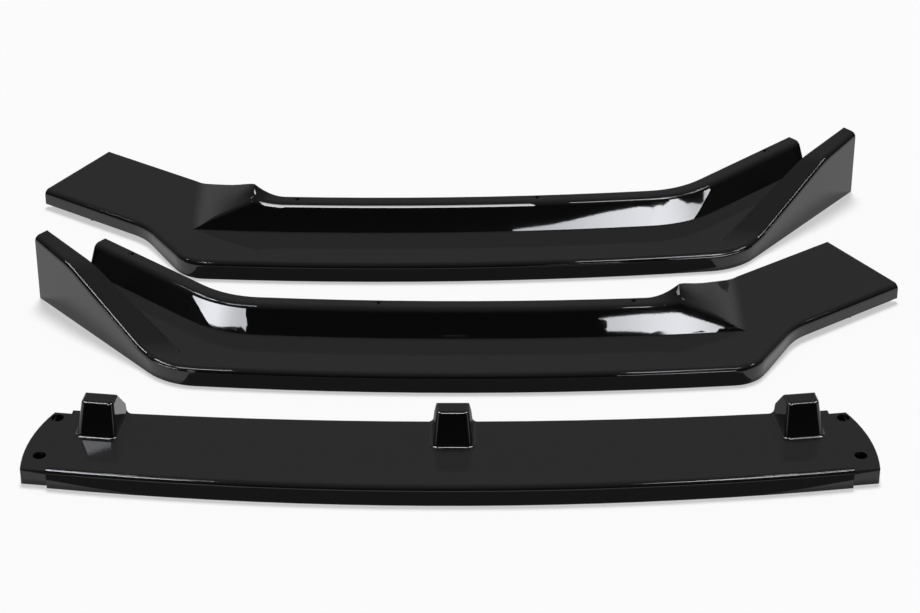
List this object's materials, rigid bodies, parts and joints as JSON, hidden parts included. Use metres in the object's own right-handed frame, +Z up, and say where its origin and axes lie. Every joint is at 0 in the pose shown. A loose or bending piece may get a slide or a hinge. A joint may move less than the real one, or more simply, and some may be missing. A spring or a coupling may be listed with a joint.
{
  "type": "front splitter lip",
  "caption": "Moulded front splitter lip in sections: swept side blades with a riser, screw flange and upright fin, and a hollow centre blade with lap tabs and hooks.",
  "frame": {"origin": "on the floor, under the middle of the box round the three sections as they lie", "axes": "+X along the sections' length, +Y from their front edges back towards the car, +Z up"},
  "size_m": [0.7404, 0.5391, 0.0611],
  "materials": {
    "gloss_black": "polished injection-moulded ABS"
  },
  "bodies": {
    "root": {"left_section": "gloss_black", "right_section": "gloss_black", "centre_section": "gloss_black"}
  },
  "joints": []
}
